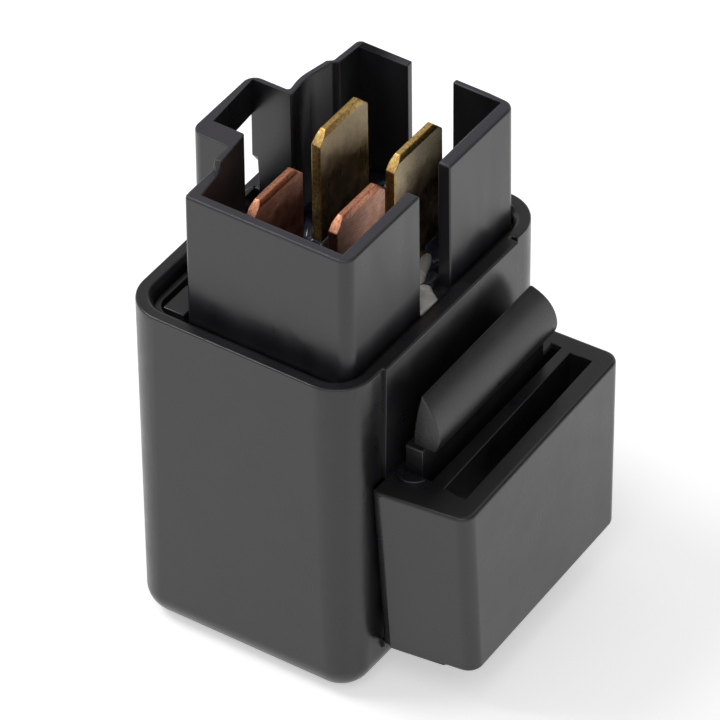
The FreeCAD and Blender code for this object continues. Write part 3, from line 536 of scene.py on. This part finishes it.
resin = {
    "step": 0.15, "sampleStep": 0.08, "overlap": 1.1, "levelMargin": 0.01,
    "climb": 0.95, "reach": 0.75, "fall": 1.2, "swell": 0.2, "swellSize": 2.6,
    "spillTurns": 6, "spillRings": 5, "underSpill": 0.15,
    # thick places: outline in plan, heights of the foot and the rim, the swell above the rim, and which
    # material; two pale ones by the gap in the right wall, whose pale grey is a painted highlight, and clear
    # beads by the left and the back wall
    "spills": (
        (((4.87, 4.75), (5.4, 4.7), (5.85, 3.95), (6.2, 2.9), (6.6, 1.95), (6.4, 1.4), (5.6, 0.9),
          (4.87, 1.2)),
         28.6, 28.95, 0.35, 1),
        (((6.75, 1.2), (7.4, 1.5), (8.0, 1.05), (8.5, 0.7), (9.0, 0.35), (9.1, -0.1), (9.05, -0.6),
          (8.85, -1.15), (8.6, -1.65), (7.6, -1.72), (6.9, -1.6), (6.6, -0.3)),
         28.87, 29.2, 0.42, 1),
        (((-4.88, 4.2), (-4.3, 4.1), (-3.4, 2.8), (-2.55, 1.8), (-2.6, 1.1), (-3.3, 0.9), (-4.2, 2.1),
          (-4.88, 3.2)),
         28.6, 28.8, 0.9, 0),
        (((-3.6, 10.15), (-0.4, 10.15), (-0.7, 9.1), (-1.9, 8.6), (-3.2, 9.1)), 28.6, 28.8, 1.0, 0),
    ),
}


def topContour(node):
    # the edges round the top face of a node, as pairs of points in plan
    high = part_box(node)[1].z
    bm = meshOfNode(node)
    pairs = []
    for edge in bm.edges:
        level = all(abs(v.co.z - high) < resin["levelMargin"] * mm for v in edge.verts)
        if level and edge.calc_face_angle(0) > 1:
            pairs.append(tuple(v.co.xy.copy() for v in edge.verts))
    bm.free()
    return pairs


def isInside(x, y, pairs):
    # odd number of contour edges crossed on the way out
    inside = False
    for a, b in pairs:
        if (a.y > y) != (b.y > y) and x < a.x + (y - a.y) / (b.y - a.y) * (b.x - a.x):
            inside = not inside
    return inside


def addSpill(bm, outline, foot, rim, swell, finish):
    # a low dome on a smooth outline: an upright skirt from the foot to the rim, then rings up to the middle
    turns = resin["spillTurns"]
    curve = []
    for index in range(len(outline)):
        a, b, c, d = [Vector(outline[(index + step) % len(outline)]) for step in (-1, 0, 1, 2)]
        for turn in range(turns):
            t = turn / turns
            curve.append(((2 * b) + (c - a) * t + (2 * a - 5 * b + 4 * c - d) * t ** 2
                          + (3 * b - a - 3 * c + d) * t ** 3) / 2)
    centre = sum(curve, Vector((0, 0))) / len(curve)
    levels = [(1, foot)]
    for ring in range(resin["spillRings"]):
        angle = math.pi / 2 * ring / resin["spillRings"]
        levels.append((math.cos(angle), rim + swell * math.sin(angle)))
    rings = []
    for share, level in levels:
        places = [centre.lerp(point, share) for point in curve]
        rings.append([bm.verts.new((p.x * mm, p.y * mm, level * mm)) for p in places])
    top = bm.verts.new((centre.x * mm, centre.y * mm, (rim + swell) * mm))
    count = len(curve)
    faces = [bm.faces.new(rings[0])]
    for lower, upper in zip(rings[:-1], rings[1:]):
        faces += [bm.faces.new((lower[i], lower[(i + 1) % count], upper[(i + 1) % count], upper[i]))
                  for i in range(count)]
    faces += [bm.faces.new((rings[-1][i], rings[-1][(i + 1) % count], top)) for i in range(count)]
    for face in faces:
        face.material_index = finish


def resinMesh():
    low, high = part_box("sealing_resin")
    pairs = topContour("sealing_resin")
    samples = []
    for a, b in pairs:
        count = max(2, int((a - b).length / (resin["sampleStep"] * mm)))
        samples += [a.lerp(b, i / count) for i in range(count + 1)]
    tree = KDTree(len(samples))
    for index, point in enumerate(samples):
        tree.insert((point.x, point.y, 0), index)
    tree.balance()
    hollows = []
    for outline, foot, *rest in resin["spills"]:
        corners = [Vector(corner) * mm for corner in outline]
        hollows.append((list(zip(corners, corners[1:] + corners[:1])), (foot + resin["underSpill"]) * mm))
    step = resin["step"] * mm
    columns = int((high.x - low.x) / step) + 3
    rows = int((high.y - low.y) / step) + 3
    bm = bmesh.new()
    grid = {}
    for i in range(columns):
        for j in range(rows):
            x, y = low.x + (i - 1) * step, low.y + (j - 1) * step
            distance = tree.find((x, y, 0))[2] / mm
            inside = isInside(x, y, pairs)
            if not inside and distance > resin["step"] * resin["overlap"]:
                continue
            away = distance if inside else 0
            climb = resin["climb"] * math.exp(-(away / resin["reach"]) ** resin["fall"])
            wave = noise.noise(Vector((x, y, 0)) / (resin["swellSize"] * mm)) * resin["swell"]
            level = high.z + (climb + wave) * mm
            for outline, underside in hollows:
                if isInside(x, y, outline):
                    level = min(level, underside)
            grid[i, j] = bm.verts.new((x, y, level))
    for i, j in list(grid):
        corners = [grid.get(key) for key in ((i, j), (i + 1, j), (i + 1, j + 1), (i, j + 1))]
        if None not in corners:
            bm.faces.new(corners)
    loose = [v for v in bm.verts if not v.link_faces]
    bmesh.ops.delete(bm, geom=loose, context="VERTS")
    top = bm.faces[:]
    lower = bmesh.ops.extrude_face_region(bm, geom=top)
    for part in lower["geom"]:
        if isinstance(part, bmesh.types.BMVert):
            part.co.z = low.z
    for spill in resin["spills"]:
        addSpill(bm, *spill)
    bmesh.ops.recalc_face_normals(bm, faces=bm.faces)
    mesh = bpy.data.meshes.new("resin")
    bm.to_mesh(mesh)
    bm.free()
    return mesh


addPiece("resin", resinMesh(), "sealing_resin", "resin", 60, [paleHighlightResin])
print("resin made")


# Every other node keeps its CAD shape and gets its own finish

slotOfNode = {part["node"]: part["material_slot"] for part in frame["record"]["subparts"]}
for node, obj in nodes.items():
    if not obj.hide_render:
        for index in range(len(obj.data.materials)):
            obj.data.materials[index] = materials[slotOfNode[node]]
print("inner pieces finished")


# Floor, world and lamps: a pale studio whose ceiling is darker than its floor

studio = {
    "floorSize": 3000, "floorColour": "#e9e9e9", "floorGlow": 0.45,
    "horizon": 0.85, "zenith": 0.35, "zenithFrom": 0.8, "lampAim": 20,
    "panels": (
        # direction, brightness, and the cosines at which it starts and is full
        ((0.10, 0.63, 0.77), 0.35, 0.92, 0.98),      # soft panel behind, overhead
        ((0.71, 0.64, 0.24), -0.45, 0.80, 0.95),     # dark gap at the back right
    ),
}


def pathShare(tree):
    # 1 for the rays that should meet a plain white surround: seen, mirrored or through glass
    path = addNode(tree, "LightPath")
    seen = addNode(tree, "Math", {"operation": "MAXIMUM"},
                   {0: path.outputs["Is Camera Ray"], 1: path.outputs["Is Glossy Ray"]})
    either = addNode(tree, "Math", {"operation": "MAXIMUM"},
                     {0: seen.outputs[0], 1: path.outputs["Is Transmission Ray"]})
    return either.outputs[0]


def paleFloor():
    # matt white sweep: lit by the lamps, so that it keeps the shadow, and lifted to white where it is seen
    material = bpy.data.materials.new("paleFloor")
    material.use_nodes = True
    tree = material.node_tree
    tree.nodes.clear()
    matt = addNode(tree, "BsdfDiffuse", {"Color": toLinear(studio["floorColour"])})
    share = pathShare(tree)
    strength = addNode(tree, "Math", {"operation": "MULTIPLY", 1: studio["floorGlow"]}, {0: share})
    glow = addNode(tree, "Emission", links={"Strength": strength.outputs[0]})
    both = addNode(tree, "AddShader", links={0: matt.outputs[0], 1: glow.outputs[0]})
    addNode(tree, "OutputMaterial", links={"Surface": both.outputs[0]})
    return material


def addFloor():
    half = studio["floorSize"] * mm / 2
    mesh = bpy.data.meshes.new("floor")
    corners = [(-half, -half, 0), (half, -half, 0), (half, half, 0), (-half, half, 0)]
    mesh.from_pydata(corners, [], [(0, 1, 2, 3)])
    mesh.materials.append(paleFloor())
    floor = bpy.data.objects.new("floor", mesh)
    scene.collection.objects.link(floor)


def setWorld():
    # bright round the horizon, dimmer overhead, and white wherever the camera sees it
    world = bpy.data.worlds.new("studio")
    scene.world = world
    world.use_nodes = True
    tree = world.node_tree
    tree.nodes.clear()
    path = addNode(tree, "LightPath")
    direction = addNode(tree, "TexCoord").outputs["Generated"]
    height = addNode(tree, "SeparateXYZ", links={0: direction}).outputs["Z"]
    fade = spread(studio["horizon"], studio["zenith"], 0, studio["zenithFrom"])
    level = addNode(tree, "MapRange", fade, {"Value": height}).outputs["Result"]
    for towards, brightness, start, full in studio["panels"]:
        settings = {"operation": "DOT_PRODUCT", 1: Vector(towards).normalized()}
        nearness = addNode(tree, "VectorMath", settings, {0: direction}).outputs["Value"]
        edge = spread(0, brightness, start, full)
        panel = addNode(tree, "MapRange", edge, {"Value": nearness}).outputs["Result"]
        level = addNode(tree, "Math", {"operation": "ADD"}, {0: level, 1: panel}).outputs[0]
    strength = addNode(tree, "Mix", {3: 1.0}, {0: path.outputs["Is Camera Ray"], 2: level})
    sky = addNode(tree, "Background", {"Color": (1, 1, 1, 1)}, {"Strength": strength.outputs[0]})
    addNode(tree, "OutputWorld", links={"Surface": sky.outputs[0]})


lamps = (
    # name, place in mm, size in mm, watts
    ("keyLamp", (-420, -160, 620), 300, 2.2),
    ("fillLamp", (260, -420, 700), 600, 1.2),
)


def addLamp(name, place, size, watts):
    light = bpy.data.lights.new(name, "AREA")
    light.shape = "DISK"
    light.size = size * mm
    light.energy = watts
    lamp = bpy.data.objects.new(name, light)
    lamp.location = Vector(place) * mm
    aim = Vector((0, 0, studio["lampAim"] * mm)) - lamp.location
    lamp.rotation_euler = aim.to_track_quat("-Z", "Y").to_euler()
    scene.collection.objects.link(lamp)


addFloor()
setWorld()
for lamp in lamps:
    addLamp(*lamp)
print("studio lit")


# Camera where the photograph was taken from

camera = {
    "azimuth": 34.3137, "elevation": 40.2414, "roll": -0.6832,   # degrees
    "aim": (9.704, -11.030, 32.150), "distance": 675.6, "lens": 472.05, "sensor": 36,
    "clip": (0.05, 20),                                          # metres
}


def addCamera():
    turn, rise, roll = [math.radians(camera[key]) for key in ("azimuth", "elevation", "roll")]
    right = Vector((math.cos(turn), math.sin(turn), 0))
    back = Vector((math.sin(turn) * math.cos(rise), -math.cos(turn) * math.cos(rise), math.sin(rise)))
    up = back.cross(right)
    rolledRight = right * math.cos(roll) + up * math.sin(roll)
    rolledUp = up * math.cos(roll) - right * math.sin(roll)
    data = bpy.data.cameras.new("camera")
    data.lens = camera["lens"]
    data.sensor_width = camera["sensor"]
    data.clip_start, data.clip_end = camera["clip"]
    viewer = bpy.data.objects.new("camera", data)
    scene.collection.objects.link(viewer)
    place = Vector(camera["aim"]) * mm + back * camera["distance"] * mm
    turned = Matrix((rolledRight, rolledUp, back)).transposed().to_4x4()
    viewer.matrix_world = Matrix.Translation(place) @ turned
    scene.camera = viewer


addCamera()
scene.view_settings.view_transform = "Standard"
print("camera set")
